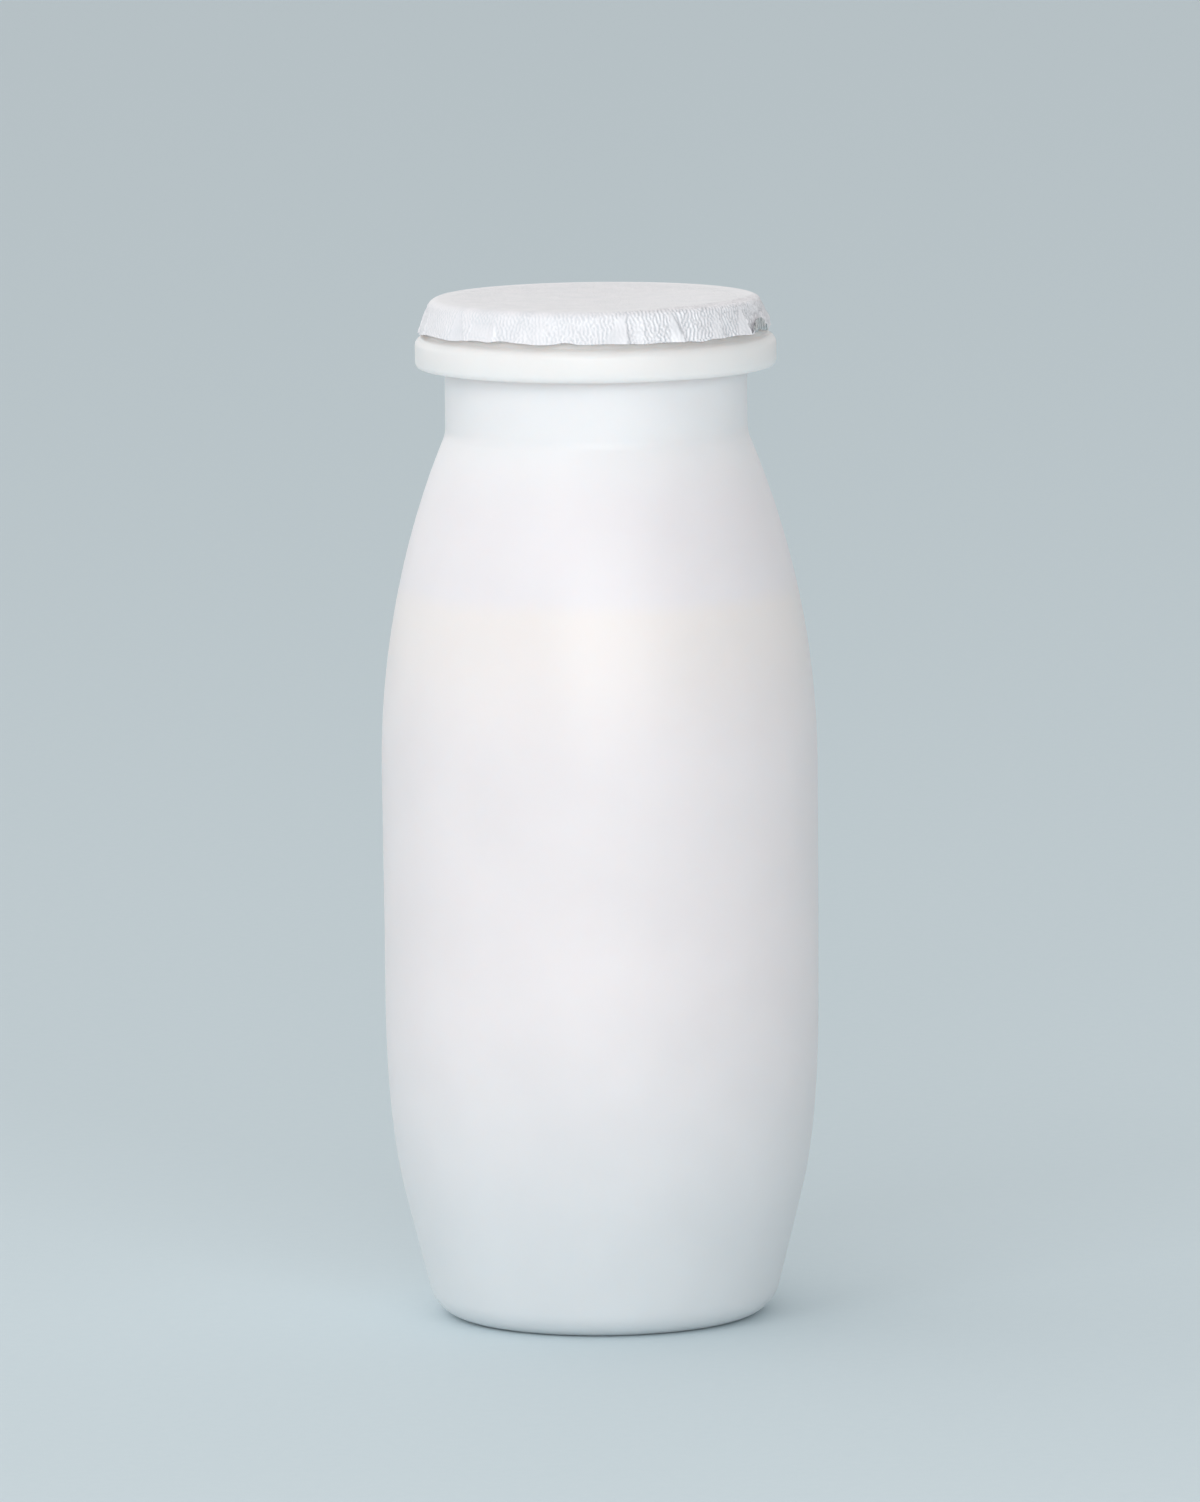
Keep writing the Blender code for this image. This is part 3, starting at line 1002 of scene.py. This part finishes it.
        disc = dish(self.top_z - 2.0 * depth, self.dish_depth, self.dish_radius, disc_radii)
        inward = disc[:, :1] + np.zeros((1, len(azimuth)))
        sagging = disc[:, 1:] + self.dents(disc_radii, azimuth)
        radius = np.concatenate([inward, radius + out + lift * np.sin(slope)])
        height = np.concatenate([sagging, height + lift * np.cos(slope)])
        # The sealing tool has pressed the foil down along the inner edge of the land.
        off_edge = np.concatenate([inward - self.dish_radius, path]) / self.press_width
        height = height - self.press_depth * np.exp(-(off_edge**2))
        return around(radius, height, azimuth), np.concatenate([0.0 * inward, crests])

    def dents(self, radii: Array, azimuth: Array) -> Array:
        """Slow dents in the disc: seeded cosines of x and y, faded out on the axis and at the land."""
        draw = random.Random(self.ridge_seed)
        place = around(radii[:, None], radii[:, None], azimuth)
        total = np.zeros(place.shape[:2])
        for _ in range(self.dent_count):
            heading, length = draw.uniform(0.0, math.pi), draw.uniform(*self.dent_length)
            run = place[..., 0] * math.cos(heading) + place[..., 1] * math.sin(heading)
            total += np.cos(run * math.tau / length + draw.uniform(0.0, math.tau))
        faded = 1.0 - soft_ramp(radii, self.dent_edge, self.dish_radius)
        faded = faded * soft_ramp(radii, *self.dent_axis) * (radii > 0.0)
        return self.dent_height * total * faded[:, None]

    def surface(self) -> tuple[Array, Array, Array]:
        """Both sides of the foil in one closed grid, joined at the free edge.

        Returns:
            The grid of points, the embossing at each, and the side of the foil that each band of faces is on.
        """
        azimuth = np.arange(self.columns) * 360.0 / self.columns - 180.0
        outer, outer_crests = self.skin(azimuth, self.outer_rows, np.array(self.outer_disc), 0.0)
        inner, inner_crests = self.skin(azimuth, self.inner_rows, np.array(self.inner_disc), self.thickness)
        side = np.repeat([FoilSide.LACQUER, FoilSide.METAL], [len(outer) - 1, len(inner)])
        return np.concatenate([outer, inner[::-1]]), np.concatenate([outer_crests, inner_crests[::-1]]), side

    def build(self) -> Object:
        """Makes the lid in place of its CAD solid.

        Returns:
            The lid's object.
        """
        points, crests, side = self.surface()
        materials = [self.lacquer.material(), self.metal.material()]
        lid = closed_object("crimped_foil_lid", points, materials, side, 80.0)
        values = np.concatenate([crests[0, :1], crests[1:-1].ravel(), crests[-1, :1]])
        embossing = lid.data.attributes.new("embossing", "FLOAT", "POINT")
        embossing.data.foreach_set("value", values.astype(np.float32))
        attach(lid, "root")
        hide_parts("foil_lid")
        return lid


@dataclass(frozen=True)
class Softbox:
    """A square studio softbox that faces the bottle."""

    name: str
    azimuth: float
    elevation: float
    power: float
    distance: float = 1.5
    size: float = 0.6
    colour: str = "#ffffff"

    def build(self, aim: Vector) -> None:
        """Places the light so that it looks at a point.

        Args:
            aim: The point.
        """
        data = bpy.data.lights.new(self.name, "AREA")
        data.shape = "SQUARE"
        data.size = self.size
        data.energy = self.power
        data.color = to_linear(self.colour)[:3]
        azimuth, elevation = math.radians(self.azimuth), math.radians(self.elevation)
        level = Vector((math.sin(azimuth), -math.cos(azimuth), 0.0))
        back = level * math.cos(elevation) + Vector((0.0, 0.0, math.sin(elevation)))
        light = new_object(self.name, data)
        light.location = aim + back * self.distance
        light.rotation_euler = (-back).to_track_quat("-Z", "Y").to_euler()


@dataclass
class Studio:
    """The paper that the bottle stands on, the lights round it and the camera in front of it."""

    paper: StudioPaper = StudioPaper()
    paper_half_size: float = 12.0
    surround: str = "#ffffff"
    surround_strength: float = 0.45
    surround_left: float = 0.52
    surround_right: float = -0.1
    surround_back: float = 0.53
    lights: tuple[Softbox, ...] = (
        Softbox("key_softbox", -30.0, 32.0, 2.5),
        Softbox("front_softbox", -5.0, 14.0, 5.2),
        Softbox("right_softbox", 20.0, 14.0, 3.95),
    )
    aim: tuple[float, float, float] = (0.0, 0.0, 0.055)
    camera_right: float = 0.0345 * MM
    camera_distance: float = 1.28011
    camera_height: float = 0.221663
    camera_pitch: float = 7.3117
    camera_roll: float = 0.5752
    lens: float = 306.064
    sensor: float = 36.0

    def floor(self) -> None:
        """Lays a flat sheet of paper on the plane z = 0."""
        steps = np.linspace(-self.paper_half_size, self.paper_half_size, 9)
        x, y = np.meshgrid(steps, steps)
        points = np.stack([x, y, np.zeros_like(x)], axis=-1).reshape(-1, 3)
        index = np.arange(x.size).reshape(x.shape)
        quads = np.stack([index[:-1, :-1], index[:-1, 1:], index[1:, 1:], index[1:, :-1]], axis=-1)
        mesh = bpy.data.meshes.new("studio_floor")
        mesh.from_pydata(points.tolist(), [], quads.reshape(-1, 4).tolist())
        mesh.materials.append(self.paper.material())
        floor = new_object("studio_floor", mesh)

    def surroundings(self) -> None:
        """Adds a pale room that fills the shadows, brighter to the left and the back than to the right."""
        world = bpy.data.worlds.new("pale_room")
        world.use_nodes = True
        tree = world.node_tree
        direction = add_node(tree, "TexCoord", output="Generated")
        strength = self.surround_strength
        for axis, end, extra in (("X", -1.0, self.surround_left), ("X", 1.0, self.surround_right),
                                 ("Y", 1.0, self.surround_back)):
            towards = add_node(tree, "SeparateXYZ", {"Vector": direction}, axis)
            side = add_node(tree, "MapRange", {"Value": towards, "From Max": end, "To Max": extra})
            strength = add_node(tree, "Math", {0: side, 1: strength})
        fill_inputs(tree, tree.nodes["Background"], {
            "Color": to_linear(self.surround), "Strength": strength,
        })
        bpy.context.scene.world = world

    def camera(self) -> None:
        """Puts the camera in front of the bottle, pitched down and rolled a little, with no shift."""
        pitch, roll = math.radians(self.camera_pitch), math.radians(self.camera_roll)
        level = Vector((0.0, math.sin(pitch), math.cos(pitch)))
        right = Vector((math.cos(roll), 0.0, 0.0)) - level * math.sin(roll)
        up = Vector((math.sin(roll), 0.0, 0.0)) + level * math.cos(roll)
        back = right.cross(up)
        data = bpy.data.cameras.new("camera")
        data.sensor_fit = "AUTO"
        data.sensor_width = self.sensor
        data.lens = self.lens
        data.clip_end = 100.0
        camera = new_object("camera", data)
        matrix = Matrix((right, up, back)).transposed().to_4x4()
        matrix.translation = (self.camera_right, -self.camera_distance, self.camera_height)
        camera.matrix_world = matrix
        bpy.context.scene.camera = camera

    def build(self) -> None:
        """Sets up the floor, the light and the camera, and shows colours as they are."""
        self.floor()
        self.surroundings()
        for light in self.lights:
            light.build(Vector(self.aim))
        self.camera()
        bpy.context.scene.view_settings.view_transform = "Standard"


def report(piece: Object) -> None:
    """Logs a piece's name, size and number of faces."""
    size = ", ".join(f"{side / MM:.2f}" for side in piece.dimensions)
    log.info("%s: %s mm, %d faces", piece.name, size, len(piece.data.polygons))


def main() -> None:
    """Builds the bottle, the lid and the studio in order."""
    logging.basicConfig(level=logging.INFO, format="%(name)s: %(message)s")
    for part in (Bottle(), FoilLid()):
        report(part.build())
    Studio().build()


if __name__ == "__main__":
    main()
